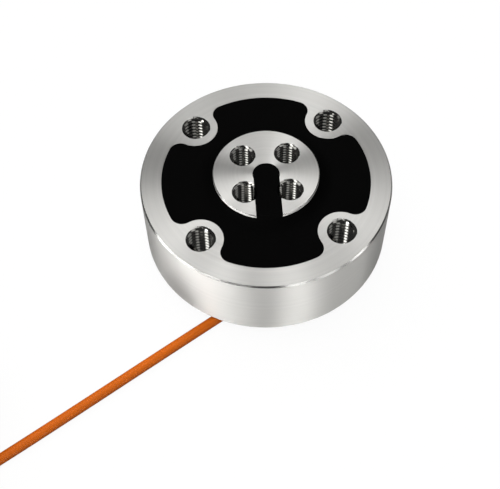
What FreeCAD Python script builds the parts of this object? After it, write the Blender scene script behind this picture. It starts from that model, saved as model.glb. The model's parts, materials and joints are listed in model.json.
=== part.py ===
"""Disc-shaped reaction torque sensor: one-piece spoked body, bonded gauges, potting and a thin silicone cable.

Millimetres, +Z up. The origin is the centre of the hub's underside, which is the face the sensor stands on.
Spokes lie at 45 degrees and every 90 after it, and the hub's keyhole slot opens towards -Y.
"""
import FreeCAD
import Part
import math
import os

# Ring
RING_OD = 50.8
RING_HEIGHT = 16.51
RING_EDGE_CHAMFER = 0.3
WINDOW_R = 21.1
LOBE_R = 4.6
LOBE_FILLET = 2.4
RING_BOLT_CIRCLE = 38.9
RING_THREAD_D = 6.0
RING_THREAD_CHAMFER = 0.1

# Hub
HUB_R = 10.7
HUB_PROUD_TOP = 1.9
HUB_PROUD_BASE = 2.5
HUB_EDGE_CHAMFER = 0.15
HUB_BOLT_CIRCLE = 12.7
HUB_THREAD_D = 5.0
HUB_THREAD_CHAMFER = 0.2
KEYHOLE_D = 5.5
KEYHOLE_SHIFT = 0.4
SLOT_WIDTH = 5.2

# Spokes that carry the torque from hub to ring
ARMS = 4
SPOKE_WIDTH = 2.2
SPOKE_HEIGHT = 9.0
SPOKE_ROOT_R = 0.8
ROOT_BITE = 0.05

# Potting: its faces lie just under the metal, and creep up the hub in a concave curve
FILL_RECESS_TOP = 0.05
FILL_RECESS_BASE = 0.3
FILL_CREEP = 3.5
FILL_MOUTH = 0.6

# Foil strain gauges on the spoke flanks
GAUGE_LENGTH = 2.0
GAUGE_HEIGHT = 5.0
GAUGE_FILM = 0.1
GAUGE_FOIL = 0.06
GAUGE_SHIFT = 0.4
GRID_BARS = 5
GRID_PITCH = 0.4
GRID_BAR = 0.2
GRID_LENGTH = 1.4
PAD_SIZE = 0.8
PAD_OFFSET = 1.8

# Solder terminals on the ring's inner wall
TERMINAL_WIDTH = 3.6
TERMINAL_HEIGHT = 7.0
TERMINAL_THICK = 0.5
TERMINAL_PAD = 0.1
TERMINAL_PAD_WIDTH = 2.4
TERMINAL_PAD_HEIGHT = 1.3
TERMINAL_PITCH = 2.1
BOND_LINE = 0.1

# Wires inside the potting
WIRE_D = 0.4
WIRE_LIFT = 1.0
LANE_STEP = 16.0

# Cable, its shrink sleeve and the ring of its put-away length
CABLE_D = 2.1
CORE_D = 0.6
CORE_SPREAD = 0.4
CORE_START = 1.5
SLEEVE_OD = 2.9
SLEEVE_LENGTH = 4.6
ARC_SHARE = 0.45
COIL_LAYERS = 8
COIL_COLUMNS = 5
COIL_MIDDLE_R = 12.6
COIL_X = -75.0
COIL_Y = -42.3
TIE_WIDTH = 5.0
TIE_THICK = 0.5
TIE_GAP = 0.1
TIE_ANGLES = (70.0, 250.0)
LEAD_TIP_D = 0.4
LEAD_TIP_LENGTH = 5.0

# Places worked out from the sizes above
RING_BASE = HUB_PROUD_BASE
RING_TOP = RING_BASE + RING_HEIGHT
RING_MIDDLE = RING_BASE + RING_HEIGHT / 2
HUB_TOP = RING_TOP + HUB_PROUD_TOP
RING_BOLT_R = RING_BOLT_CIRCLE / 2
HUB_BOLT_R = HUB_BOLT_CIRCLE / 2
SPOKE_TOP = RING_MIDDLE + SPOKE_HEIGHT / 2
SPOKE_BASE = RING_MIDDLE - SPOKE_HEIGHT / 2
ROOT_OFFSET = SPOKE_WIDTH / 2 + SPOKE_ROOT_R
ROOT_HUB_X = math.sqrt((HUB_R - ROOT_BITE + SPOKE_ROOT_R) ** 2 - ROOT_OFFSET ** 2)
ROOT_LOBE_X = RING_BOLT_R - math.sqrt((LOBE_R - ROOT_BITE + SPOKE_ROOT_R) ** 2 - ROOT_OFFSET ** 2)
FLANK_X = (ROOT_HUB_X + ROOT_LOBE_X) / 2
TERMINAL_SEAT = math.sqrt(WINDOW_R ** 2 - (TERMINAL_WIDTH / 2) ** 2) - BOND_LINE
TERMINAL_FACE = TERMINAL_SEAT - TERMINAL_THICK - TERMINAL_PAD
LANE_R = (HUB_R + RING_BOLT_R - LOBE_R) / 2
UNDER_SPOKE = (SPOKE_BASE + RING_BASE + FILL_RECESS_BASE) / 2
COIL_BASE = TIE_THICK
COIL_HEIGHT = COIL_LAYERS * CABLE_D
COIL_OUTER_R = COIL_MIDDLE_R + COIL_COLUMNS * CABLE_D / 2
COIL_INNER_R = COIL_MIDDLE_R - COIL_COLUMNS * CABLE_D / 2

# Cable route, chosen by hand: out of the potting's underside, below the ring and along the floor to the coil
FLOOR_LINE = CABLE_D / 2
CABLE_ROUTE = [
    (4.0, -11.9, 4.9),
    (-2.7, -15.9, FLOOR_LINE),
    (-17.7, -25.15, FLOOR_LINE),
    (-41.8, -40.85, FLOOR_LINE),
    (-63.2, -53.3, FLOOR_LINE),
]
TAIL_ROUTE = [
    (-86.5, -39.6, 15.0),
    (-92.3, -30.1, 11.0),
    (-94.6, -19.6, 4.2),
    (-93.8, -8.1, FLOOR_LINE),
    (-91.6, 2.4, FLOOR_LINE),
]
LEAD_COLOURS = ("red", "black", "green", "white")
LEAD_FAN = (-36.0, -9.0, 9.0, 36.0)
LEAD_DROP_RUN = 6.0
LEAD_FLAT_RUN = 7.0

Z_AXIS = FreeCAD.Vector(0, 0, 1)
ORIGIN = FreeCAD.Vector(0, 0, 0)


def vec(x, y, z=0.0):
    return FreeCAD.Vector(x, y, z)


def polar(radius, angle, z=0.0):
    """A point at a radius and an angle in degrees about the sensor's axis."""
    turn = math.radians(angle)
    return vec(radius * math.cos(turn), radius * math.sin(turn), z)


def unit(v):
    return v / v.Length


def turned(shape, angle):
    """A copy turned about the sensor's axis."""
    copy = shape.copy()
    copy.rotate(ORIGIN, Z_AXIS, angle)
    return copy


def spoke_angle(arm):
    return 45.0 + 360.0 / ARMS * arm


def window_angle(arm):
    return 360.0 / ARMS * arm


def fillet_arc(start, centre, end, radius):
    """The shorter arc from start to end about a centre."""
    middle = centre + unit(unit(start - centre) + unit(end - centre)) * radius
    return Part.Arc(start, middle, end).toShape()


def window_face():
    """The ring's opening: a circle, with a lobe round each bolt hole blended in by fillets."""
    reach = WINDOW_R - LOBE_FILLET
    span = LOBE_R + LOBE_FILLET
    swing = math.degrees(math.acos((reach ** 2 + RING_BOLT_R ** 2 - span ** 2) / (2 * reach * RING_BOLT_R)))
    edges = []
    for arm in range(ARMS):
        angle = spoke_angle(arm)
        lobe = polar(RING_BOLT_R, angle)
        centre_in = polar(reach, angle - swing)
        centre_out = polar(reach, angle + swing)
        wall_in = polar(WINDOW_R, angle - swing)
        wall_out = polar(WINDOW_R, angle + swing)
        lobe_in = lobe + unit(centre_in - lobe) * LOBE_R
        lobe_out = lobe + unit(centre_out - lobe) * LOBE_R
        edges.append(fillet_arc(wall_in, centre_in, lobe_in, LOBE_FILLET))
        edges.append(Part.Arc(lobe_in, polar(RING_BOLT_R - LOBE_R, angle), lobe_out).toShape())
        edges.append(fillet_arc(lobe_out, centre_out, wall_out, LOBE_FILLET))
        next_angle = spoke_angle(arm + 1)
        wall_next = polar(WINDOW_R, next_angle - swing)
        edges.append(Part.Arc(wall_out, polar(WINDOW_R, (angle + next_angle) / 2), wall_next).toShape())
    return Part.Face(Part.Wire(edges))


def window_prism(base, top):
    face = window_face()
    face.translate(vec(0, 0, base))
    return face.extrude(vec(0, 0, top - base))


def chamfered_cylinder(radius, base, top, chamfer):
    cylinder = Part.makeCylinder(radius, top - base, vec(0, 0, base))
    rims = [edge for edge in cylinder.Edges if isinstance(edge.Curve, Part.Circle)]
    return cylinder.makeChamfer(chamfer, rims)


def bolt_positions(circle_r):
    return [polar(circle_r, spoke_angle(arm)) for arm in range(ARMS)]


def tapped_hole(place, diameter, chamfer, base, top):
    """A through hole at the thread's outer diameter, with a countersink at both mouths."""
    radius = diameter / 2
    mouth = radius + chamfer
    low = vec(place.x, place.y, base)
    high = vec(place.x, place.y, top - chamfer)
    drill = Part.makeCylinder(radius, top - base, low)
    sink_low = Part.makeCone(mouth, radius, chamfer, low)
    sink_high = Part.makeCone(radius, mouth, chamfer, high)
    return drill.fuse([sink_low, sink_high])


def hub_blank():
    """The hub before drilling: a disc with a round hole just off its centre and a slot from it to the rim."""
    disc = chamfered_cylinder(HUB_R, 0, HUB_TOP, HUB_EDGE_CHAMFER)
    eye = Part.makeCylinder(KEYHOLE_D / 2, HUB_TOP, vec(0, -KEYHOLE_SHIFT, 0))
    slot = Part.makeBox(SLOT_WIDTH, HUB_R, HUB_TOP, vec(-SLOT_WIDTH / 2, -HUB_R, 0))
    return disc.cut([eye, slot])


def spoke(arm):
    """A flat web from hub to lobe, with rounded roots that run out into both walls."""
    hub_wall = HUB_R - ROOT_BITE
    lobe_wall = LOBE_R - ROOT_BITE
    lobe = vec(RING_BOLT_R, 0)
    half = SPOKE_WIDTH / 2
    sides = []
    for side in (1, -1):
        hub_centre = vec(ROOT_HUB_X, side * ROOT_OFFSET)
        lobe_centre = vec(ROOT_LOBE_X, side * ROOT_OFFSET)
        sides.append({
            "hub": unit(hub_centre) * hub_wall,
            "hub_centre": hub_centre,
            "flank_hub": vec(ROOT_HUB_X, side * half),
            "flank_lobe": vec(ROOT_LOBE_X, side * half),
            "lobe_centre": lobe_centre,
            "lobe": lobe + unit(lobe_centre - lobe) * lobe_wall,
        })
    left, right = sides
    outline = Part.Wire([
        fillet_arc(left["hub"], left["hub_centre"], left["flank_hub"], SPOKE_ROOT_R),
        Part.makeLine(left["flank_hub"], left["flank_lobe"]),
        fillet_arc(left["flank_lobe"], left["lobe_centre"], left["lobe"], SPOKE_ROOT_R),
        Part.makeLine(left["lobe"], right["lobe"]),
        fillet_arc(right["lobe"], right["lobe_centre"], right["flank_lobe"], SPOKE_ROOT_R),
        Part.makeLine(right["flank_lobe"], right["flank_hub"]),
        fillet_arc(right["flank_hub"], right["hub_centre"], right["hub"], SPOKE_ROOT_R),
        Part.makeLine(right["hub"], left["hub"]),
    ])
    web = Part.Face(outline).extrude(vec(0, 0, SPOKE_HEIGHT))
    web.translate(vec(0, 0, SPOKE_BASE))
    return turned(web, spoke_angle(arm))


def hub_drills():
    return [
        tapped_hole(place, HUB_THREAD_D, HUB_THREAD_CHAMFER, 0, HUB_TOP)
        for place in bolt_positions(HUB_BOLT_R)
    ]


def ring_drills():
    return [
        tapped_hole(place, RING_THREAD_D, RING_THREAD_CHAMFER, RING_BASE, RING_TOP)
        for place in bolt_positions(RING_BOLT_R)
    ]


def sensor_body():
    """Ring, lobes, spokes and hub, machined from one piece."""
    disc = chamfered_cylinder(RING_OD / 2, RING_BASE, RING_TOP, RING_EDGE_CHAMFER)
    ring = disc.cut(window_prism(0, HUB_TOP))
    webs = [spoke(arm) for arm in range(ARMS)]
    body = ring.fuse([hub_blank()] + webs)
    return body.cut(hub_drills() + ring_drills()).removeSplitter()


def creep_arc(inner, outer):
    """A concave quarter-like curve from the hub level to the ring level, level where it meets the ring's fill."""
    run = outer.x - inner.x
    rise = inner.z - outer.z
    radius = (run ** 2 + rise ** 2) / (2 * abs(rise))
    centre = vec(outer.x, 0, outer.z + math.copysign(radius, rise))
    return fillet_arc(inner, centre, outer, radius)


def fill_envelope():
    """The potting's outside, turned about the axis: flat over the windows and creeping up the hub."""
    levels = {
        "base_hub": FILL_RECESS_BASE,
        "base_ring": RING_BASE + FILL_RECESS_BASE,
        "top_ring": RING_TOP - FILL_RECESS_TOP,
        "top_hub": HUB_TOP - FILL_RECESS_TOP,
    }
    inside = HUB_R - FILL_MOUTH
    outside = HUB_R + FILL_CREEP
    edge = WINDOW_R + FILL_MOUTH
    base_in = vec(inside, 0, levels["base_hub"])
    base_out = vec(outside, 0, levels["base_ring"])
    top_in = vec(inside, 0, levels["top_hub"])
    top_out = vec(outside, 0, levels["top_ring"])
    axis_low = vec(0, 0, levels["base_hub"])
    axis_high = vec(0, 0, levels["top_hub"])
    rim_low = vec(edge, 0, levels["base_ring"])
    rim_high = vec(edge, 0, levels["top_ring"])
    profile = Part.Wire([
        Part.makeLine(axis_low, base_in),
        creep_arc(base_in, base_out),
        Part.makeLine(base_out, rim_low),
        Part.makeLine(rim_low, rim_high),
        Part.makeLine(rim_high, top_out),
        creep_arc(top_in, top_out),
        Part.makeLine(top_in, axis_high),
        Part.makeLine(axis_high, axis_low),
    ])
    return Part.Face(profile).revolve(ORIGIN, Z_AXIS, 360)


def potting(buried):
    """Black compound cast into the windows, the keyhole and the slot, round everything that lies in it."""
    blank = fill_envelope().common(window_prism(0, HUB_TOP))
    webs = [spoke(arm) for arm in range(ARMS)]
    return blank.cut([hub_blank()] + webs + hub_drills()).cut(buried).removeSplitter()


def flank_box(arm, side, along, length, level, height, start, depth):
    """A box on a spoke's flank: along the spoke, up the sensor's axis, and out from the flank."""
    near = SPOKE_WIDTH / 2 + start
    low_y = near if side > 0 else -near - depth
    box = Part.makeBox(length, depth, height, vec(along - length / 2, low_y, level - height / 2))
    return turned(box, spoke_angle(arm))


def gauge_along(arm, side):
    """Gauges of one spoke sit towards opposite ends, where both flanks stretch, or both shrink, together."""
    sense = side if arm % 2 else -side
    return FLANK_X + sense * GAUGE_SHIFT


def strain_gauge(arm, side):
    """Carrier film with a folded foil grid along the spoke and a solder pad above and below it."""
    along = gauge_along(arm, side)
    film = flank_box(arm, side, along, GAUGE_LENGTH, RING_MIDDLE, GAUGE_HEIGHT, 0, GAUGE_FILM)
    foil = []
    first = RING_MIDDLE - GRID_PITCH * (GRID_BARS - 1) / 2
    end_shift = (GRID_LENGTH - GRID_BAR) / 2
    for bar in range(GRID_BARS):
        level = first + GRID_PITCH * bar
        foil.append(flank_box(arm, side, along, GRID_LENGTH, level, GRID_BAR, GAUGE_FILM, GAUGE_FOIL))
        if bar < GRID_BARS - 1:
            loop_x = along + (end_shift if bar % 2 else -end_shift)
            loop_z = level + GRID_PITCH / 2
            foil.append(flank_box(arm, side, loop_x, GRID_BAR, loop_z, GRID_PITCH, GAUGE_FILM, GAUGE_FOIL))
    for way in (1, -1):
        pad_z = RING_MIDDLE + way * PAD_OFFSET
        foil.append(flank_box(arm, side, along, PAD_SIZE, pad_z, PAD_SIZE, GAUGE_FILM, GAUGE_FOIL))
        grid_edge = RING_MIDDLE + way * GRID_PITCH * (GRID_BARS - 1) / 2
        neck = abs(pad_z - grid_edge)
        foil.append(flank_box(arm, side, along, GRID_BAR, (pad_z + grid_edge) / 2, neck, GAUGE_FILM, GAUGE_FOIL))
    return film.fuse(foil).removeSplitter()


def gauge_pad(arm, side, way, lift):
    """The middle of a gauge's upper or lower solder pad, or a point lifted off it."""
    out = side * (SPOKE_WIDTH / 2 + GAUGE_FILM + GAUGE_FOIL + lift)
    point = vec(gauge_along(arm, side), out, RING_MIDDLE + way * PAD_OFFSET)
    return FreeCAD.Rotation(Z_AXIS, spoke_angle(arm)).multVec(point)


def solder_terminal(arm):
    """A flat strip seated by its edges on the ring's curved inner wall, with three solder pads."""
    low_z = RING_MIDDLE - TERMINAL_HEIGHT / 2
    corner = vec(TERMINAL_SEAT - TERMINAL_THICK, -TERMINAL_WIDTH / 2, low_z)
    strip = Part.makeBox(TERMINAL_THICK, TERMINAL_WIDTH, TERMINAL_HEIGHT, corner)
    pads = []
    for row in (-1, 0, 1):
        pad_z = RING_MIDDLE + row * TERMINAL_PITCH - TERMINAL_PAD_HEIGHT / 2
        corner = vec(TERMINAL_FACE, -TERMINAL_PAD_WIDTH / 2, pad_z)
        pads.append(Part.makeBox(TERMINAL_PAD, TERMINAL_PAD_WIDTH, TERMINAL_PAD_HEIGHT, corner))
    return turned(strip.fuse(pads), window_angle(arm))


def terminal_pad(arm, row, shift, lift):
    """The middle of a terminal's pad, shifted along the wall, or a point lifted off it towards the axis."""
    point = vec(TERMINAL_FACE - lift, shift, RING_MIDDLE + row * TERMINAL_PITCH)
    return FreeCAD.Rotation(Z_AXIS, window_angle(arm)).multVec(point)


def rounded_path(points):
    """Straight runs joined by tangent arcs, each as large as its two runs allow, and the arcs' radii."""
    edges = []
    radii = []
    start = points[0]
    for before, corner, after in zip(points, points[1:], points[2:]):
        back = unit(before - corner)
        ahead = unit(after - corner)
        half_turn = (math.pi - back.getAngle(ahead)) / 2
        trim = ARC_SHARE * min((before - corner).Length, (after - corner).Length)
        radius = trim / math.tan(half_turn)
        enter = corner + back * trim
        leave = corner + ahead * trim
        middle = corner + unit(back + ahead) * (radius / math.cos(half_turn) - radius)
        edges.append(Part.makeLine(start, enter))
        edges.append(Part.Arc(enter, middle, leave).toShape())
        radii.append(radius)
        start = leave
    edges.append(Part.makeLine(start, points[-1]))
    return Part.Wire(edges), radii


def tube(points, diameter):
    """A round section carried along a rounded path."""
    path, _ = rounded_path(points)
    section = Part.Wire(Part.makeCircle(diameter / 2, points[0], points[1] - points[0]))
    return path.makePipeShell([section], True, False)


def gauge_wire(arm, side):
    """From a gauge's lower pad across its window to the terminal there."""
    window = arm if side < 0 else arm + 1
    row = 0 if side < 0 else 1
    shift = -side * TERMINAL_PAD_WIDTH / 4
    return tube([
        gauge_pad(arm, side, -1, 0),
        gauge_pad(arm, side, -1, WIRE_LIFT),
        terminal_pad(window, row, shift, WIRE_LIFT),
        terminal_pad(window, row, shift, 0),
    ], WIRE_D)


def gauge_jumper(arm):
    """From one flank's upper pad over the top of the spoke to the other flank's upper pad."""
    over = SPOKE_TOP + WIRE_LIFT
    down = gauge_pad(arm, -1, 1, WIRE_LIFT)
    up = gauge_pad(arm, 1, 1, WIRE_LIFT)
    return tube([
        gauge_pad(arm, -1, 1, 0),
        down,
        vec(down.x, down.y, over),
        vec(up.x, up.y, over),
        up,
        gauge_pad(arm, 1, 1, 0),
    ], WIRE_D)


def cable_inlet():
    """The cable's buried end, its direction into the potting, and two directions across it."""
    end = vec(*CABLE_ROUTE[0])
    inward = unit(end - vec(*CABLE_ROUTE[1]))
    across = unit(inward.cross(Z_AXIS))
    return end, inward, across, across.cross(inward)


def core_start(side, way, ahead):
    end, inward, across, upward = cable_inlet()
    return end + across * (side * CORE_SPREAD) + upward * (way * CORE_SPREAD) + inward * ahead


def under_spoke(radius, arm, sense):
    """Two low points that take a core below a spoke, one each side of it, in the order of travel."""
    angle = spoke_angle(arm)
    return [polar(radius, angle + step * sense, UNDER_SPOKE) for step in (-LANE_STEP, LANE_STEP)]


def inner_lead(colour):
    """A cable core from the jacket's end to its terminal, passing below the spokes on its way."""
    near_lane = LANE_R - CORE_D
    far_lane = LANE_R + CORE_D
    front, right, far, left = 3, 0, 1, 2
    front_right, far_right, front_left = 3, 0, 2
    routes = {
        "red": (1, -1, right, under_spoke(far_lane, front_right, 1)),
        "black": (-1, -1, far, (
            under_spoke(near_lane, front_right, 1)
            + [polar(near_lane, window_angle(right), UNDER_SPOKE)]
            + under_spoke(near_lane, far_right, 1)
        )),
        "green": (1, 1, front, [polar(far_lane + CORE_D, window_angle(front) + LANE_STEP, RING_MIDDLE)]),
        "white": (-1, 1, left, (
            [polar(LANE_R, window_angle(front), RING_MIDDLE)] + under_spoke(LANE_R, front_left, -1)
        )),
    }
    side, way, window, lane = routes[colour]
    return tube(
        [core_start(side, way, 0), core_start(side, way, CORE_START)]
        + lane
        + [terminal_pad(window, -1, 0, 2 * WIRE_LIFT), terminal_pad(window, -1, 0, 0)],
        CORE_D,
    )


def coil_solid():
    """The tied ring that the put-away length is wound into."""
    place = vec(COIL_X, COIL_Y, COIL_BASE)
    outer = Part.makeCylinder(COIL_OUTER_R, COIL_HEIGHT, place)
    return outer.cut(Part.makeCylinder(COIL_INNER_R, COIL_HEIGHT, place))


def coil_tie(angle):
    """A flat strap round the coil's section, clear of the coil's curved inner wall at the strap's edges."""
    low_x = math.sqrt(COIL_INNER_R ** 2 - (TIE_WIDTH / 2) ** 2) - TIE_GAP
    width = COIL_OUTER_R + TIE_GAP - low_x
    hollow = Part.makeBox(width, TIE_WIDTH, COIL_HEIGHT + TIE_GAP, vec(low_x, -TIE_WIDTH / 2, COIL_BASE))
    around = width + 2 * TIE_THICK
    tall = COIL_HEIGHT + TIE_GAP + 2 * TIE_THICK
    strap = Part.makeBox(around, TIE_WIDTH, tall, vec(low_x - TIE_THICK, -TIE_WIDTH / 2, COIL_BASE - TIE_THICK))
    corners = [edge for edge in strap.Edges if edge.BoundBox.YLength > TIE_WIDTH / 2]
    strap = strap.makeFillet(TIE_THICK / 2, corners).cut(hollow)
    strap.rotate(ORIGIN, Z_AXIS, angle)
    strap.translate(vec(COIL_X, COIL_Y, 0))
    return strap


def cable_tube(route, coil):
    """A free stretch of cable, ending flush on the coil."""
    points = [vec(*place) for place in route]
    path, radii = rounded_path(points)
    solid = tube(points, CABLE_D)
    expected = math.pi * CABLE_D ** 2 / 4 * path.Length
    print("cable stretch: length %.2f, radii %s, volume over section times length %.5f" % (
        path.Length, ", ".join("%.1f" % radius for radius in radii), solid.Volume / expected))
    return solid.cut(coil)


def cable_sleeve():
    """Shrink sleeve over the buried end of the cable, just showing where it leaves the potting."""
    end, inward, _, _ = cable_inlet()
    mouth = end - inward * SLEEVE_LENGTH
    shell = Part.makeCylinder(SLEEVE_OD / 2, SLEEVE_LENGTH, mouth, inward)
    return shell.cut(Part.makeCylinder(CABLE_D / 2, SLEEVE_LENGTH, mouth, inward))


def stripped_lead(index):
    """One insulated core at the cable's free end, fanned out on the floor, and its tinned tip."""
    end = vec(*TAIL_ROUTE[-1])
    ahead = unit(end - vec(*TAIL_ROUTE[-2]))
    sideways = ahead.cross(Z_AXIS)
    side = -1 if index < ARMS / 2 else 1
    raised = 1 if index in (0, ARMS - 1) else -1
    start = end + sideways * (side * CORE_SPREAD) + Z_AXIS * (raised * CORE_SPREAD)
    heading = FreeCAD.Rotation(Z_AXIS, -LEAD_FAN[index]).multVec(ahead)
    landing = start + ahead * LEAD_DROP_RUN / 2 + heading * LEAD_DROP_RUN / 2
    landing.z = CORE_D / 2
    finish = landing + heading * LEAD_FLAT_RUN
    corner = start + ahead * LEAD_DROP_RUN / 4
    core = tube([start, corner, landing, finish], CORE_D)
    tip = Part.makeCylinder(LEAD_TIP_D / 2, LEAD_TIP_LENGTH, finish, heading)
    return core, tip


def main():
    solids = {"sensor_body": sensor_body()}
    coil = coil_solid()
    solids["cable"] = cable_tube(CABLE_ROUTE, coil)
    solids["cable_tail"] = cable_tube(TAIL_ROUTE, coil)
    solids["cable_sleeve"] = cable_sleeve()
    for arm in range(ARMS):
        for side in (-1, 1):
            number = 2 * arm + (2 if side > 0 else 1)
            solids["strain_gauge_%d" % number] = strain_gauge(arm, side)
            solids["gauge_wire_%d" % number] = gauge_wire(arm, side)
        solids["gauge_jumper_%d" % (arm + 1)] = gauge_jumper(arm)
        solids["solder_terminal_%d" % (arm + 1)] = solder_terminal(arm)
    for colour in LEAD_COLOURS:
        solids["inner_lead_" + colour] = inner_lead(colour)
    free = ("sensor_body", "cable_tail")
    solids["potting"] = potting([shape for name, shape in solids.items() if name not in free])
    solids["cable_coil"] = coil
    for number, angle in enumerate(TIE_ANGLES, 1):
        solids["coil_tie_%d" % number] = coil_tie(angle)
    tips = []
    for index, colour in enumerate(LEAD_COLOURS):
        solids["lead_" + colour], tip = stripped_lead(index)
        tips.append(tip)
    solids["lead_tips"] = Part.makeCompound(tips)
    os.makedirs("parts", exist_ok=True)
    for name, shape in solids.items():
        shape.exportStep(os.path.join("parts", name + ".step"))
        print("%-20s solids %d  volume %.3f  valid %s" % (name, len(shape.Solids), shape.Volume, shape.isValid()))


main()
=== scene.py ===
"""Looks of a disc torque sensor: turned steel, tapped holes, black potting, a silicone cable and a stage.

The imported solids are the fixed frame. Lengths are metres in that frame, with MM as the working unit.
"""
import json
import math

import bpy
import numpy as np
from bpy.props import FloatProperty, FloatVectorProperty, IntProperty, PointerProperty
from mathutils import Euler, Matrix, Vector


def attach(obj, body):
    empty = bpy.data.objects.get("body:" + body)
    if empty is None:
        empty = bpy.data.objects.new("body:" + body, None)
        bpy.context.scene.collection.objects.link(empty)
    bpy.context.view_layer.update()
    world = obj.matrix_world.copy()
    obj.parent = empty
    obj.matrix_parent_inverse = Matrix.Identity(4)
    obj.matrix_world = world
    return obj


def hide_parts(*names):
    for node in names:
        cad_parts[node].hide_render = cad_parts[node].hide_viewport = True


bl_info = {
    "name": "Disc torque sensor",
    "version": (1, 0, 0),
    "blender": (4, 5, 0),
    "location": "View3D > Sidebar > Sensor",
    "description": "Dresses the solids of a disc torque sensor and sets up its stage",
    "category": "Object",
}

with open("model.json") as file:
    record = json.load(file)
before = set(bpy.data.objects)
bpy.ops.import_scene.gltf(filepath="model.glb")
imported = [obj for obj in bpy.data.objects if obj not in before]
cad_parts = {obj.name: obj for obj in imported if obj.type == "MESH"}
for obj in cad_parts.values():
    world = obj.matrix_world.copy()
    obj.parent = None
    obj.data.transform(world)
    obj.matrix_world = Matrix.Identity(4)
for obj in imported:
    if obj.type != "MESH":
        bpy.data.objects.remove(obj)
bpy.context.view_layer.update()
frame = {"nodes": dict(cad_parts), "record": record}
RECORD_MOUNTS = {mount["name"]: mount for mount in frame["record"]["mounts"]}

MM = 0.001
BODY = "root"
TURN = 2 * math.pi
CORE_COLOURS = ("red", "black", "green", "white")
FIRST_HOLE_ANGLE = math.radians(45)

# The cable's route: out of the potting's underside, below the ring and along the floor
CABLE_ROUTE = np.array([
    (4.0, -11.9, 4.9),
    (-2.6, -16.1, 1.05),
    (-17.45, -25.6, 1.05),
    (-41.55, -41.3, 1.05),
    (-54.35, -49.5, 1.05),
]) * MM
# Its free end: off the top of the coil, down to the floor and along it
TAIL_ROUTE = np.array([
    (-92.3, -30.1, 11.0),
    (-94.6, -19.6, 4.2),
    (-93.8, -8.1, 1.05),
    (-91.6, 2.4, 1.05),
]) * MM

# The photograph's camera, as fitted to the ring's outline, the window, the hub and the holes
PHOTO_WIDTH = 500
FOCAL_PIXELS = 1000.0
SENSOR_WIDTH_MM = 36.0
CAMERA_PLACE = Vector((-9.079, -118.001, 182.55)) * MM
CAMERA_RIGHT = Vector((0.99811, -0.06094, -0.00824))
CAMERA_UP = Vector((0.056, 0.84537, 0.53123))


def linear(hex_colour):
    """Linear red, green and blue of an sRGB hex colour."""
    shares = [int(hex_colour[at:at + 2], 16) / 255 for at in (1, 3, 5)]
    return tuple(v / 12.92 if v <= 0.04045 else ((v + 0.055) / 1.055) ** 2.4 for v in shares)


def length_property(name, description, millimetres):
    return FloatProperty(
        name=name, description=description, default=millimetres * MM, unit="LENGTH", precision=5)


def colour_property(name, description, hex_colour):
    return FloatVectorProperty(
        name=name, description=description, default=linear(hex_colour), subtype="COLOR", min=0, max=1)


class SensorSizes(bpy.types.PropertyGroup):
    """Sizes of what the dressing adds to the solids."""

    ring_pitch: length_property("Ring thread pitch", "Rise of the ring holes' thread in one turn", 1.0)
    hub_pitch: length_property("Hub thread pitch", "Rise of the hub holes' thread in one turn", 0.8)
    ring_mouth: length_property("Ring thread mouth", "Radius of the ring holes' threads at the faces", 2.85)
    hub_mouth: length_property("Hub thread mouth", "Radius of the hub holes' threads at the faces", 2.6)
    thread_share: FloatProperty(
        name="Thread depth", description="Depth of a thread as a share of its pitch", default=0.54,
        subtype="FACTOR")
    slot_width: length_property("Slot width", "Width of the hub's slot, which two holes break into", 5.2)
    cable_diameter: length_property("Cable diameter", "Outside diameter of the cable's jacket", 2.1)
    coil_x: length_property("Coil place across", "Middle of the coil, across the sensor", -75.0)
    coil_y: length_property("Coil place along", "Middle of the coil, along the sensor", -42.3)
    coil_middle: length_property("Coil middle radius", "Radius at the middle of the coil's turns", 12.6)
    coil_lift: length_property("Coil lift", "Thickness of the strap below the coil", 0.5)
    coil_layers: IntProperty(name="Coil layers", description="Turns on top of each other", default=8, min=2)
    coil_columns: IntProperty(name="Coil columns", description="Turns beside each other", default=5, min=2)
    smooth_angle: FloatProperty(
        name="Smooth angle", description="Faces that meet at less than this shade as one surface",
        default=math.radians(30), subtype="ANGLE")


class SensorColours(bpy.types.PropertyGroup):
    """Colours of the finishes."""

    steel: colour_property("Turned steel", "Bare machined stainless steel", "#C2C1BE")
    # Darker than the turned steel: painted shade inside the tapped holes
    shaded_thread_steel: colour_property("Tapped steel", "Steel in the tapped holes", "#8E8D89")
    potting: colour_property("Potting", "Black casting compound", "#020202")
    silicone: colour_property("Cable jacket", "Orange silicone", "#D06410")
    sleeve: colour_property("Shrink sleeve", "Black shrunk tubing", "#141414")
    strap: colour_property("Strap", "Black woven strap", "#191919")
    tinned: colour_property("Tinned copper", "Tinned strands of the cores", "#CFCDC8")
    film: colour_property("Gauge film", "Amber film of the gauges", "#C48A2E")
    laminate: colour_property("Terminal board", "Green glass laminate", "#2F6B38")
    copper: colour_property("Enamelled copper", "Wires inside the potting", "#B5653A")
    core_red: colour_property("Red core", "Insulation of the red core", "#B3201C")
    core_black: colour_property("Black core", "Insulation of the black core", "#161616")
    core_green: colour_property("Green core", "Insulation of the green core", "#1F7A3A")
    core_white: colour_property("White core", "Insulation of the white core", "#E6E4DE")


class SensorStage(bpy.types.PropertyGroup):
    """Floor, light and background."""

    floor_side: FloatProperty(name="Floor", description="Side of the floor", default=6.0, unit="LENGTH")
    shadow_share: FloatProperty(
        name="Shadow", description="How much of the floor's own shading the camera sees", default=0.06,
        subtype="FACTOR")
    mirrored_share: FloatProperty(
        name="Mirrored shadow", description="How much of the floor's own shading the metal shows",
        default=0.95, subtype="FACTOR")
    ambient: FloatProperty(name="Ambient", description="Brightness of the studio's walls", default=0.08)
    key_light: FloatProperty(
        name="Key lamp", description="Strength of the lamp overhead, behind on the left", default=2.4)
    fill_light: FloatProperty(
        name="Fill lamp", description="Strength of the lamp above the camera", default=1.3)


def rgba(colour):
    return (*colour, 1.0)


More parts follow.
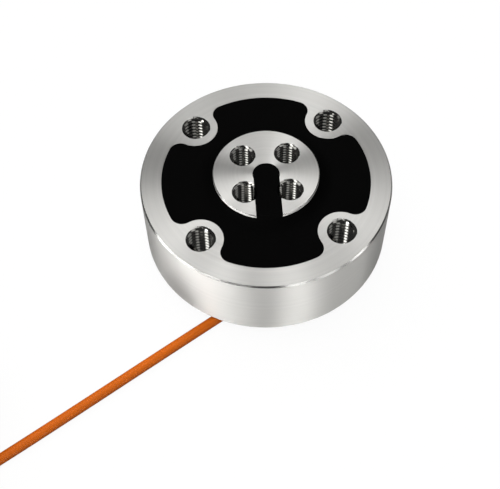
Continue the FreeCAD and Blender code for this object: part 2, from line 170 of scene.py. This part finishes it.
def set_inputs(tree, node, inputs):
    """Link the inputs that are given a socket, and set the others."""
    for key, value in inputs.items():
        if isinstance(value, bpy.types.NodeSocket):
            tree.links.new(value, node.inputs[key])
        else:
            node.inputs[key].default_value = value


def add_node(tree, kind, settings=None, inputs=None):
    """Add a node with its settings, and set or link its inputs."""
    node = tree.nodes.new(kind)
    for key, value in (settings or {}).items():
        setattr(node, key, value)
    set_inputs(tree, node, inputs or {})
    return node


def start_material(name):
    """An empty material with its Principled shader on the output."""
    material = bpy.data.materials.new(name)
    material.use_nodes = True
    tree = material.node_tree
    tree.nodes.clear()
    shader = add_node(tree, "ShaderNodeBsdfPrincipled")
    add_node(tree, "ShaderNodeOutputMaterial", inputs={"Surface": shader.outputs["BSDF"]})
    return material, tree, shader


def turned_stainless(colour):
    """Stainless steel, faced and turned on a lathe and left bare.

    The tool leaves fine rings on the flat faces and fine level lines on the wall, so highlights spread
    across them: flat faces show soft fans, and the wall shows upright bands. Each ring has one long flank,
    which leans outwards, so opposite fans differ. Chamfers are cut finer and mirror more. The lines are
    drawn coarser than the real 0.1 mm feed, so that they show.
    """
    line_spacing = 0.8 * MM
    line_depth = 0.02 * MM
    feed_slope = math.tan(math.radians(15))
    # The upright part of the normal, above which a surface counts as a face or as a chamfer
    face_rise = 0.9
    chamfer_rise = 0.3
    face_roughness = 0.26
    chamfer_roughness = 0.12
    wall_roughness = 0.50
    line_roughness = 0.16
    quarter_turn = 0.25
    material, tree, shader = start_material("turned_stainless")
    place = add_node(tree, "ShaderNodeTexCoord").outputs["Object"]
    level = add_node(tree, "ShaderNodeVectorMath", {"operation": "MULTIPLY"}, {0: place, 1: (1, 1, 0)})
    radius = add_node(tree, "ShaderNodeVectorMath", {"operation": "LENGTH"}, {0: level.outputs["Vector"]})
    height = add_node(tree, "ShaderNodeSeparateXYZ", inputs={0: place})
    normal = add_node(tree, "ShaderNodeNewGeometry").outputs["Normal"]
    facing = add_node(tree, "ShaderNodeSeparateXYZ", inputs={0: normal})
    up = add_node(tree, "ShaderNodeMath", {"operation": "ABSOLUTE"}, {0: facing.outputs["Z"]})
    flat = add_node(tree, "ShaderNodeMath", {"operation": "GREATER_THAN"}, {0: up.outputs[0], 1: face_rise})
    along = add_node(tree, "ShaderNodeMix", inputs={
        "Factor": flat.outputs[0], "A": height.outputs["Z"], "B": radius.outputs["Value"]})
    lines = add_node(tree, "ShaderNodeTexNoise", {"noise_dimensions": "1D"}, {
        "W": along.outputs["Result"], "Scale": 1 / line_spacing, "Detail": 3.0, "Roughness": 0.7})
    tone = add_node(tree, "ShaderNodeMapRange", inputs={
        "Value": lines.outputs["Fac"], "From Min": 0.25, "From Max": 0.75, "To Min": 0.90, "To Max": 1.0})
    shade = add_node(tree, "ShaderNodeMix", {"data_type": "RGBA", "blend_type": "MULTIPLY"}, {
        "Factor": 1.0, "A": rgba(colour), "B": tone.outputs["Result"]})
    slanted = add_node(tree, "ShaderNodeMath", {"operation": "GREATER_THAN"}, {
        0: up.outputs[0], 1: chamfer_rise})
    edged = add_node(tree, "ShaderNodeMix", inputs={
        "Factor": slanted.outputs[0], "A": wall_roughness, "B": chamfer_roughness})
    least = add_node(tree, "ShaderNodeMix", inputs={
        "Factor": flat.outputs[0], "A": edged.outputs["Result"], "B": face_roughness})
    rough = add_node(tree, "ShaderNodeMath", {"operation": "MULTIPLY_ADD"}, {
        0: lines.outputs["Fac"], 1: line_roughness, 2: least.outputs["Result"]})
    outward = add_node(tree, "ShaderNodeVectorMath", {"operation": "NORMALIZE"}, {
        0: level.outputs["Vector"]})
    slope = add_node(tree, "ShaderNodeMath", {"operation": "MULTIPLY"}, {0: flat.outputs[0], 1: feed_slope})
    lean = add_node(tree, "ShaderNodeVectorMath", {"operation": "SCALE"}, {
        0: outward.outputs["Vector"], "Scale": slope.outputs[0]})
    leaning = add_node(tree, "ShaderNodeVectorMath", {"operation": "ADD"}, {
        0: normal, 1: lean.outputs["Vector"]})
    flank = add_node(tree, "ShaderNodeVectorMath", {"operation": "NORMALIZE"}, {
        0: leaning.outputs["Vector"]})
    bump = add_node(tree, "ShaderNodeBump", inputs={
        "Height": lines.outputs["Fac"], "Strength": 0.10, "Distance": line_depth,
        "Normal": flank.outputs["Vector"]})
    around = add_node(tree, "ShaderNodeTangent", {"direction_type": "RADIAL", "axis": "Z"})
    set_inputs(tree, shader, {
        "Base Color": shade.outputs["Result"],
        "Metallic": 1.0,
        "Roughness": rough.outputs[0],
        "Anisotropic": 0.85,
        "Anisotropic Rotation": quarter_turn,
        "Normal": bump.outputs["Normal"],
        "Tangent": around.outputs["Tangent"],
    })
    return material


def shaded_tapped_stainless(colour):
    """Stainless steel cut by a tap: smooth and bright, but torn a little, so that its shine is uneven. Its
    colour is darker than the turned steel's: painted shade inside the holes.
    """
    grain = 0.15 * MM
    material, tree, shader = start_material("shaded_tapped_stainless")
    place = add_node(tree, "ShaderNodeTexCoord").outputs["Object"]
    tear = add_node(tree, "ShaderNodeTexNoise", inputs={
        "Vector": place, "Scale": 1 / grain, "Detail": 2.0, "Roughness": 0.6})
    rough = add_node(tree, "ShaderNodeMapRange", inputs={
        "Value": tear.outputs["Fac"], "To Min": 0.05, "To Max": 0.12})
    set_inputs(tree, shader, {
        "Base Color": rgba(colour),
        "Metallic": 1.0,
        "Roughness": rough.outputs["Result"],
    })
    return material


def cast_potting(colour):
    """Black epoxy, cast and cured: satin, dead level apart from a faint ripple."""
    ripple = 4.0 * MM
    ripple_depth = 0.1 * MM
    material, tree, shader = start_material("cast_epoxy_potting")
    place = add_node(tree, "ShaderNodeTexCoord").outputs["Object"]
    swell = add_node(tree, "ShaderNodeTexNoise", inputs={
        "Vector": place, "Scale": 1 / ripple, "Detail": 3.0})
    bump = add_node(tree, "ShaderNodeBump", inputs={
        "Height": swell.outputs["Fac"], "Strength": 0.15, "Distance": ripple_depth})
    rough = add_node(tree, "ShaderNodeMapRange", inputs={
        "Value": swell.outputs["Fac"], "To Min": 0.50, "To Max": 0.62})
    set_inputs(tree, shader, {
        "Base Color": rgba(colour),
        "Roughness": rough.outputs["Result"],
        "Specular IOR Level": 0.015,
        "Normal": bump.outputs["Normal"],
    })
    return material


def soft_extrusion(name, colour, roughness, specular, mottle=0.06, grain=0.5 * MM):
    """An extruded jacket or insulation: even colour with a faint mottle, and a satin grain from the die."""
    grain_depth = 0.02 * MM
    material, tree, shader = start_material(name)
    place = add_node(tree, "ShaderNodeTexCoord").outputs["Object"]
    cloud = add_node(tree, "ShaderNodeTexNoise", inputs={
        "Vector": place, "Scale": 1 / grain, "Detail": 3.0})
    tone = add_node(tree, "ShaderNodeMapRange", inputs={
        "Value": cloud.outputs["Fac"], "From Min": 0.3, "From Max": 0.7,
        "To Min": 1 - mottle, "To Max": 1.0})
    shade = add_node(tree, "ShaderNodeMix", {"data_type": "RGBA", "blend_type": "MULTIPLY"}, {
        "Factor": 1.0, "A": rgba(colour), "B": tone.outputs["Result"]})
    bump = add_node(tree, "ShaderNodeBump", inputs={
        "Height": cloud.outputs["Fac"], "Strength": 0.12, "Distance": grain_depth})
    set_inputs(tree, shader, {
        "Base Color": shade.outputs["Result"],
        "Roughness": roughness,
        "Specular IOR Level": specular,
        "Normal": bump.outputs["Normal"],
    })
    return material


def drawn_metal(name, colour, roughness, grain):
    """Thin drawn metal, such as tinned strands or enamelled wire: bright, with a fine uneven skin."""
    material, tree, shader = start_material(name)
    place = add_node(tree, "ShaderNodeTexCoord").outputs["Object"]
    skin = add_node(tree, "ShaderNodeTexNoise", inputs={
        "Vector": place, "Scale": 1 / grain, "Detail": 2.0})
    rough = add_node(tree, "ShaderNodeMapRange", inputs={
        "Value": skin.outputs["Fac"], "To Min": 0.7 * roughness, "To Max": 1.3 * roughness})
    set_inputs(tree, shader, {
        "Base Color": rgba(colour),
        "Metallic": 1.0,
        "Roughness": rough.outputs["Result"],
    })
    return material


def woven_strap(colour):
    """Nylon strap, woven of thick threads: dull, with a fine check of threads over and under. The grooves
    between the threads are drawn darker: painted shade.
    """
    thread = 0.35 * MM
    thread_relief = 0.1 * MM
    material, tree, shader = start_material("woven_nylon_strap")
    place = add_node(tree, "ShaderNodeTexCoord").outputs["Object"]
    weave = add_node(tree, "ShaderNodeTexVoronoi", inputs={
        "Vector": place, "Scale": 1 / thread, "Randomness": 0.25})
    # Darker towards each cell's edge, in the grooves between threads: painted shade
    tone = add_node(tree, "ShaderNodeMapRange", inputs={
        "Value": weave.outputs["Distance"], "To Min": 1.0, "To Max": 0.5})
    shade = add_node(tree, "ShaderNodeMix", {"data_type": "RGBA", "blend_type": "MULTIPLY"}, {
        "Factor": 1.0, "A": rgba(colour), "B": tone.outputs["Result"]})
    bump = add_node(tree, "ShaderNodeBump", {"invert": True}, {
        "Height": weave.outputs["Distance"], "Strength": 0.6, "Distance": thread_relief})
    set_inputs(tree, shader, {
        "Base Color": shade.outputs["Result"],
        "Roughness": 0.85,
        "Sheen Weight": 0.15,
        "Normal": bump.outputs["Normal"],
    })
    return material


def put_mesh(name, vertices, faces, smooth_angle):
    """A mesh from whole arrays, one row of corners for each face, shaded smooth below the given angle."""
    mesh = bpy.data.meshes.new(name)
    corners = faces.shape[1]
    mesh.vertices.add(len(vertices))
    mesh.vertices.foreach_set("co", vertices.astype(np.float32).ravel())
    mesh.loops.add(faces.size)
    mesh.loops.foreach_set("vertex_index", faces.astype(np.int32).ravel())
    mesh.polygons.add(len(faces))
    mesh.polygons.foreach_set("loop_start", np.arange(0, faces.size, corners, dtype=np.int32))
    mesh.polygons.foreach_set("use_smooth", np.ones(len(faces), dtype=bool))
    mesh.update(calc_edges=True)
    mesh.set_sharp_from_angle(angle=smooth_angle)
    return mesh


def place_piece(name, data, material, stands_for=()):
    """Link a finished piece, give it its material, hang it on the body it rides on, and hide the nodes that
    it stands for.
    """
    piece = bpy.data.objects.new(name, data)
    bpy.context.scene.collection.objects.link(piece)
    data.materials.append(material)
    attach(piece, BODY)
    if stands_for:
        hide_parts(*stands_for)
    return piece


def welded(node):
    """A node's vertices and triangles with loose corners joined: equal places, to the micron, become one."""
    micron = 1e-6
    mesh = frame["nodes"][node].data
    places = np.empty(3 * len(mesh.vertices))
    mesh.vertices.foreach_get("co", places)
    places = places.reshape(-1, 3)
    corners = np.empty(len(mesh.loops), dtype=np.int64)
    mesh.loops.foreach_get("vertex_index", corners)
    _, first, joined = np.unique(np.round(places / micron), axis=0, return_index=True, return_inverse=True)
    triangles = joined.ravel()[corners].reshape(-1, 3)
    distinct = (triangles != np.roll(triangles, 1, axis=1)).all(axis=1)
    return places[first], triangles[distinct]


def smooth_copy(node, name, material):
    """A welded copy of a node, shaded smooth, that stands for it."""
    sizes = bpy.context.scene.sensor_sizes
    vertices, faces = welded(node)
    return place_piece(name, put_mesh(name, vertices, faces, sizes.smooth_angle), material, [node])


def hole_circle(mount):
    """Centres and radius of a bolt circle's holes, from the record."""
    dims = RECORD_MOUNTS[mount]["dims"]
    count = dims["count"]
    angles = FIRST_HOLE_ANGLE + TURN * np.arange(count) / count
    reach = dims["pcd_mm"] * MM / 2
    return np.stack([reach * np.cos(angles), reach * np.sin(angles)], axis=1), dims["hole_r_mm"] * MM


def hole_heights(vertices, centre, radius):
    """Heights of a hole's mouths and round wall, from the bottom up, read from the body's vertices."""
    near = 0.002 * MM
    widest_mouth = 0.4 * MM
    reach = np.hypot(*(vertices[:, :2] - centre).T) - radius
    mouths = vertices[reach < widest_mouth, 2]
    wall = vertices[np.abs(reach) < near, 2]
    return mouths.min(), wall.min(), wall.max(), mouths.max()


def thread_ridges(centres, radius, mouth, heights, pitch, depth, slot_width):
    """Inner threads as closed ridges: a blunt triangle carried up a helix in each hole.

    Place = centre + reach * (cos a, sin a), height = start + pitch * (a - first) / turn. The ridge's root
    lies just inside the wall and follows the mouths' chamfers. The ridge runs out through both mouths and is
    cut level with the faces: where a face cuts its flank, its depth goes down in step. A cone of 45 degrees
    from the mouth's radius cuts its crest. It is left out where the hole breaks into the hub's slot.
    """
    low, wall_low, wall_high, high = heights
    steps_per_turn = 40
    bite = 0.03 * MM
    # The four points of the ridge's profile stay this far apart where a face cuts them level
    thin = 0.004 * MM
    slot_edge = 0.15 * MM
    crest_half = pitch * 0.14
    root_half = pitch * 0.47
    overrun = root_half - 4 * thin
    start = low - overrun
    turns = (high + overrun - start) / pitch
    progress = np.linspace(0, turns, int(turns * steps_per_turn))
    first = math.pi - TURN * (high - start) / pitch
    angle = first + TURN * progress
    rise = start + pitch * progress
    flank = root_half - crest_half
    left = np.clip(np.minimum(high + root_half - rise, rise + root_half - low) / flank, 0, 1)
    around = np.stack([np.cos(angle), np.sin(angle)], axis=1)
    wall = centres[:, None, :] + radius * around[None]
    in_slot = (wall[..., 1] < 0) & (np.abs(wall[..., 0]) < slot_width / 2 + slot_edge)
    offsets = np.array([-root_half, -crest_half, crest_half, root_half])
    step = thin * np.arange(len(offsets))
    level = np.clip(rise[:, None] + offsets, low + step, high - step[::-1])
    root = -bite - np.maximum(level - wall_high, 0) - np.maximum(wall_low - level, 0)
    cone = radius - mouth + np.minimum(high - level, level - low)
    crest = np.minimum((depth + bite) * left[:, None] - bite, cone)
    profile = np.stack([root[:, 0], crest[:, 1], crest[:, 2], root[:, 3]], axis=1)
    reach = radius - np.where(in_slot[..., None], root, np.maximum(profile, root))
    flat = centres[:, None, None, :] + reach[..., None] * around[None, :, None, :]
    raised = np.broadcast_to(level[None], reach.shape)
    vertices = np.concatenate([flat, raised[..., None]], axis=3)
    index = np.arange(reach.size).reshape(reach.shape)
    here, after = index[:, :-1], index[:, 1:]
    sides = np.stack([here, after, np.roll(after, -1, axis=2), np.roll(here, -1, axis=2)], axis=3)
    caps = np.concatenate([index[:, :1, :], index[:, -1:, ::-1]], axis=1)
    kept_sides = sides[~(in_slot[:, :-1] & in_slot[:, 1:])].reshape(-1, 4)
    kept_caps = caps[~in_slot[:, [0, -1]]]
    used, faces = np.unique(np.concatenate([kept_sides, kept_caps]), return_inverse=True)
    return vertices.reshape(-1, 3)[used], faces.reshape(-1, 4)


def coil_line(sizes):
    """The coil's centreline as control points, wound clockwise from the outside of the floor layer.

    A turn steps one column in, or out, in one quarter, and a layer's last quarter rises to the next layer.
    Steps and rises lie in different quarters, so no turn meets its neighbours. The curve of a spline of
    order 3 lies inside its control points by the cosine of half a step, so the points stand that much
    further out.
    """
    points_per_turn = 16
    entry = math.radians(-57.1)
    quarter = TURN / 4
    half_step = math.pi / points_per_turn
    diameter = sizes.cable_diameter
    columns = sizes.coil_columns
    layer_turn = (2 * columns - 1) * math.pi
    last_turn = math.pi + TURN * (columns - 2) + quarter + quarter / 3
    full = layer_turn * (sizes.coil_layers - 1) + last_turn
    progress = np.arange(0, full + half_step, 2 * half_step)
    layer = np.minimum(progress // layer_turn, sizes.coil_layers - 1)
    within = progress - layer * layer_turn
    starts = math.pi + TURN * np.arange(columns - 1)
    ramp = np.clip((within[:, None] - starts[None]) / quarter, 0, 1)
    stepped = (ramp * ramp * (3 - 2 * ramp)).sum(axis=1)
    column = np.where(layer % 2 == 0, columns - 1 - stepped, stepped)
    rise = np.clip((within - layer_turn + quarter) / quarter, 0, 1)
    rise = rise * rise * (3 - 2 * rise)
    radius = sizes.coil_middle + (column - (columns - 1) / 2) * diameter
    radius = radius / math.cos(half_step)
    angle = entry - progress
    return np.stack([
        sizes.coil_x + radius * np.cos(angle),
        sizes.coil_y + radius * np.sin(angle),
        sizes.coil_lift + diameter * (0.5 + layer + rise),
    ], axis=1)


def camera_object():
    """The photograph's view: a centred lens at the fitted place."""
    data = bpy.data.cameras.new("photo_view")
    data.sensor_width = SENSOR_WIDTH_MM
    data.lens = FOCAL_PIXELS / PHOTO_WIDTH * SENSOR_WIDTH_MM
    data.clip_start = MM
    camera = bpy.data.objects.new("photo_view", data)
    bpy.context.scene.collection.objects.link(camera)
    back = CAMERA_RIGHT.cross(CAMERA_UP)
    turn = Matrix((CAMERA_RIGHT, CAMERA_UP, back)).transposed()
    camera.matrix_world = Matrix.Translation(CAMERA_PLACE) @ turn.to_4x4()
    return camera


def white_floor(shadow_share, mirrored_share):
    """Matt table. Where it is seen it is white, with a share of its own shading, which keeps the shadow.

    The camera sees white paint and a small share of its shading. Metal and clear pieces see a greyer paint
    and more of its shading, so that the wall darkens where it stands over its own shadow.
    """
    seen_paint = rgba(linear("#FFFFFF"))
    mirrored_paint = rgba(linear("#A6A6A6"))
    material = bpy.data.materials.new("white_table")
    material.use_nodes = True
    tree = material.node_tree
    tree.nodes.clear()
    path = add_node(tree, "ShaderNodeLightPath")
    tint = add_node(tree, "ShaderNodeMix", {"data_type": "RGBA"}, {
        "Factor": path.outputs["Is Camera Ray"], "A": mirrored_paint, "B": seen_paint})
    paint = add_node(tree, "ShaderNodeBsdfDiffuse", inputs={"Color": tint.outputs["Result"]})
    glow = add_node(tree, "ShaderNodeEmission", inputs={"Strength": 1.0})
    mirrored = add_node(tree, "ShaderNodeMath", {"operation": "MAXIMUM"}, {
        0: path.outputs["Is Glossy Ray"], 1: path.outputs["Is Transmission Ray"]})
    white = add_node(tree, "ShaderNodeMath", {"operation": "MULTIPLY"}, {
        0: mirrored.outputs[0], 1: 1 - mirrored_share})
    whiter = add_node(tree, "ShaderNodeMath", {"operation": "MULTIPLY_ADD"}, {
        0: path.outputs["Is Camera Ray"], 1: 1 - shadow_share, 2: white.outputs[0]})
    both = add_node(tree, "ShaderNodeMixShader", inputs={
        0: whiter.outputs[0], 1: paint.outputs[0], 2: glow.outputs[0]})
    add_node(tree, "ShaderNodeOutputMaterial", inputs={"Surface": both.outputs[0]})
    return material


def broad_lamp(name, azimuth, elevation, spread, strength):
    """A wide, far lamp that lights the matt pieces. The metal shows the soft boxes instead."""
    data = bpy.data.lights.new(name, "SUN")
    data.energy = strength
    data.angle = math.radians(spread)
    lamp = bpy.data.objects.new(name, data)
    lamp.rotation_euler = (0, math.radians(90 - elevation), math.radians(azimuth))
    lamp.visible_glossy = False
    bpy.context.scene.collection.objects.link(lamp)


def studio_world(ambient):
    """A dim room with soft boxes: each one fades from its middle to its edge, by the angle off its axis.

    A row gives a box's azimuth and elevation, the angles of its full middle and of its edge, and its
    strength. The boxes are for the metal: matt pieces take their light from the lamps.
    """
    boxes = [
        # Left of the camera, from the table upwards
        (-172, 4, 5, 13, 9.0),
        (-152, 4, 5, 13, 21.0),
        (-132, 4, 5, 13, 18.5),
        (-112, 4, 5, 13, 11.0),
        (-170, 32, 6, 16, 1.8),
        (-142, 44, 5, 13, 4.0),
        (-136, 56, 4, 10, 3.6),
        (-136, 68, 4, 10, 2.8),
        # Right of the camera
        (-72, 8, 6, 14, 17.5),
        (-50, 8, 6, 15, 2.6),
        (-45, 32, 6, 16, 1.2),
        (-24, 5, 5, 14, 6.2),
        (5, 44, 6, 14, 0.5),
        (-54, 56, 4, 10, 0.6),
        (-54, 68, 4, 10, 0.6),
        # Overhead
        (43, 54, 6, 15, 1.4),
        (62, 54, 6, 15, 1.3),
        (118, 54, 6, 15, 0.6),
        (135, 54, 6, 15, 1.7),
        (135, 66, 5, 12, 1.7),
        (75, 66, 5, 12, 5.2),
        (-60, 81, 5, 11, 1.6),
        # Behind
        (74, 30, 4, 10, 2.8),
        (82, 30, 4, 10, 1.6),
        (90, 30, 4, 10, 1.0),
        (98, 30, 4, 10, 0.9),
        (106, 30, 4, 10, 1.5),
    ]
    world = bpy.data.worlds.new("studio")
    world.use_nodes = True
    tree = world.node_tree
    tree.nodes.clear()
    direction = add_node(tree, "ShaderNodeTexCoord").outputs["Generated"]
    total = ambient
    for azimuth, elevation, inner, outer, strength in boxes:
        axis = Euler((0, math.radians(-elevation), math.radians(azimuth))).to_matrix().col[0]
        near = add_node(tree, "ShaderNodeVectorMath", {"operation": "DOT_PRODUCT"}, {0: direction, 1: axis})
        fade = add_node(tree, "ShaderNodeMapRange", {"interpolation_type": "SMOOTHSTEP"}, {
            "Value": near.outputs["Value"],
            "From Min": math.cos(math.radians(outer)), "From Max": math.cos(math.radians(inner)),
            "To Min": 0.0, "To Max": strength})
        total = add_node(tree, "ShaderNodeMath", {"operation": "ADD"}, {
            0: fade.outputs["Result"], 1: total}).outputs[0]
    path = add_node(tree, "ShaderNodeLightPath")
    seen = add_node(tree, "ShaderNodeMix", inputs={
        "Factor": path.outputs["Is Camera Ray"], "A": total, "B": 1.0})
    light = add_node(tree, "ShaderNodeBackground", inputs={
        "Color": rgba(linear("#FFFFFF")), "Strength": seen.outputs["Result"]})
    add_node(tree, "ShaderNodeOutputWorld", inputs={"Surface": light.outputs[0]})
    # Matt pieces don't see the boxes
    world.cycles_visibility.diffuse = False
    return world


class SENSOR_OT_stage(bpy.types.Operator):
    """Set up the floor, the light and the photograph's camera"""

    bl_idname = "sensor.stage"
    bl_label = "Stage"

    def execute(self, context):
        stage = context.scene.sensor_stage
        half = stage.floor_side / 2
        drop = 0.02 * MM
        corners = np.array([
            (-half, -half, -drop), (half, -half, -drop), (half, half, -drop), (-half, half, -drop)])
        mesh = put_mesh("floor", corners, np.array([(0, 1, 2, 3)]), math.pi)
        mesh.materials.append(white_floor(stage.shadow_share, stage.mirrored_share))
        floor = bpy.data.objects.new("floor", mesh)
        context.scene.collection.objects.link(floor)
        context.scene.world = studio_world(stage.ambient)
        broad_lamp("key_lamp", azimuth=125, elevation=68, spread=70, strength=stage.key_light)
        broad_lamp("fill_lamp", azimuth=-90, elevation=55, spread=60, strength=stage.fill_light)
        context.scene.camera = camera_object()
        context.scene.view_settings.view_transform = "Standard"
        return {"FINISHED"}


class SENSOR_OT_machined_body(bpy.types.Operator):
    """Shade the one-piece body as turned steel and cut threads into its holes"""

    bl_idname = "sensor.machined_body"
    bl_label = "Machined body"

    def execute(self, context):
        # Parts of a ridge that are this level were cut with the faces, and have their finish
        level_rise = 0.98
        sizes = context.scene.sensor_sizes
        colours = context.scene.sensor_colours
        steel = turned_stainless(colours.steel)
        smooth_copy("sensor_body", "machined_body", steel)
        # The tapped steel's darker colour paints the shade inside the holes
        tapped = shaded_tapped_stainless(colours.shaded_thread_steel)
        vertices, _ = welded("sensor_body")
        for name, mount, pitch, mouth in (
            ("ring_threads", "ring_bolts", sizes.ring_pitch, sizes.ring_mouth),
            ("hub_threads", "hub_bolts", sizes.hub_pitch, sizes.hub_mouth),
        ):
            centres, radius = hole_circle(mount)
            heights = hole_heights(vertices, centres[0], radius)
            ridges = thread_ridges(
                centres, radius, mouth, heights, pitch, pitch * sizes.thread_share, sizes.slot_width)
            mesh = put_mesh(name, *ridges, sizes.smooth_angle)
            place_piece(name, mesh, tapped)
            mesh.materials.append(steel)
            normals = np.empty(3 * len(mesh.polygons), dtype=np.float32)
            mesh.polygons.foreach_get("normal", normals)
            faced = np.abs(normals.reshape(-1, 3)[:, 2]) > level_rise
            mesh.polygons.foreach_set("material_index", faced.astype(np.int32))
        return {"FINISHED"}


class SENSOR_OT_potting(bpy.types.Operator):
    """Shade the black potting"""

    bl_idname = "sensor.potting"
    bl_label = "Potting"

    def execute(self, context):
        epoxy = cast_potting(context.scene.sensor_colours.potting)
        smooth_copy("potting", "cast_potting", epoxy)
        return {"FINISHED"}


class SENSOR_OT_cable(bpy.types.Operator):
    """Lay the cable along its route, wind the rest into its coil and fan out its bare end"""

    bl_idname = "sensor.cable"
    bl_label = "Cable"

    def execute(self, context):
        sizes = context.scene.sensor_sizes
        colours = context.scene.sensor_colours
        points = np.concatenate([CABLE_ROUTE, coil_line(sizes), TAIL_ROUTE])
        curve = bpy.data.curves.new("silicone_cable", "CURVE")
        curve.dimensions = "3D"
        curve.bevel_depth = sizes.cable_diameter / 2
        curve.bevel_resolution = 6
        curve.resolution_u = 6
        curve.use_fill_caps = True
        spline = curve.splines.new("NURBS")
        spline.points.add(len(points) - 1)
        spline.points.foreach_set("co", np.column_stack([points, np.ones(len(points))]).ravel())
        spline.order_u = 3
        spline.use_endpoint_u = True
        spline.use_smooth = True
        jacket = soft_extrusion(
            "extruded_silicone", colours.silicone, roughness=0.42, specular=0.10, grain=2.0 * MM)
        cable = place_piece(
            "silicone_cable", curve, jacket, ["cable", "cable_coil", "cable_tail"])
        strap = woven_strap(colours.strap)
        on_cable = [smooth_copy("coil_tie_%d" % number, "strap_%d" % number, strap)
                    for number in (1, 2)]
        for colour in CORE_COLOURS:
            slot = "core_" + colour
            skin = soft_extrusion(
                "extruded_insulation_" + colour, getattr(colours, slot), roughness=0.4, specular=0.5)
            on_cable.append(smooth_copy("lead_" + colour, "stripped_core_" + colour, skin))
            frame["nodes"]["inner_lead_" + colour].material_slots[0].material = skin
        tinned = drawn_metal("tinned_copper_strands", colours.tinned, roughness=0.3, grain=0.2 * MM)
        on_cable.append(smooth_copy("lead_tips", "tinned_ends", tinned))
        sleeve = soft_extrusion("shrunk_polyolefin", colours.sleeve, roughness=0.5, specular=0.4)
        smooth_copy("cable_sleeve", "shrink_sleeve", sleeve)
        return {"FINISHED"}


class SENSOR_OT_inner_pieces(bpy.types.Operator):
    """Give the pieces inside the potting their finishes"""

    bl_idname = "sensor.inner_pieces"
    bl_label = "Inner pieces"

    def execute(self, context):
        colours = context.scene.sensor_colours
        finishes = {
            "strain_gauge": soft_extrusion(
                "polyimide_gauge_film", colours.film, roughness=0.35, specular=0.5, mottle=0.2),
            "solder_terminal": soft_extrusion(
                "glass_laminate", colours.laminate, roughness=0.5, specular=0.5, mottle=0.2),
            "gauge": drawn_metal("enamelled_copper", colours.copper, roughness=0.3, grain=0.2 * MM),
        }
        for name, node in frame["nodes"].items():
            for start, finish in finishes.items():
                if name.startswith(start + "_"):
                    node.material_slots[0].material = finish
        return {"FINISHED"}


class SENSOR_PT_dressing(bpy.types.Panel):
    """Lists the dressing tools with their sizes and colours"""

    bl_idname = "SENSOR_PT_dressing"
    bl_label = "Disc torque sensor"
    bl_space_type = "VIEW_3D"
    bl_region_type = "UI"
    bl_category = "Sensor"

    def draw(self, context):
        for operator in OPERATORS:
            self.layout.operator(operator.bl_idname)
        for group in (context.scene.sensor_sizes, context.scene.sensor_colours, context.scene.sensor_stage):
            box = self.layout.box()
            for key in group.__annotations__:
                box.prop(group, key)


GROUPS = {"sensor_sizes": SensorSizes, "sensor_colours": SensorColours, "sensor_stage": SensorStage}
OPERATORS = (
    SENSOR_OT_stage,
    SENSOR_OT_machined_body,
    SENSOR_OT_potting,
    SENSOR_OT_cable,
    SENSOR_OT_inner_pieces,
)
CLASSES = (*GROUPS.values(), *OPERATORS, SENSOR_PT_dressing)


def register():
    for cls in CLASSES:
        bpy.utils.register_class(cls)
    for name, group in GROUPS.items():
        setattr(bpy.types.Scene, name, PointerProperty(type=group))


def unregister():
    for name in GROUPS:
        delattr(bpy.types.Scene, name)
    for cls in reversed(CLASSES):
        bpy.utils.unregister_class(cls)


def main():
    register()
    bpy.ops.sensor.stage()
    bpy.ops.sensor.machined_body()
    bpy.ops.sensor.potting()
    bpy.ops.sensor.cable()
    bpy.ops.sensor.inner_pieces()


if __name__ == "__main__":
    main()
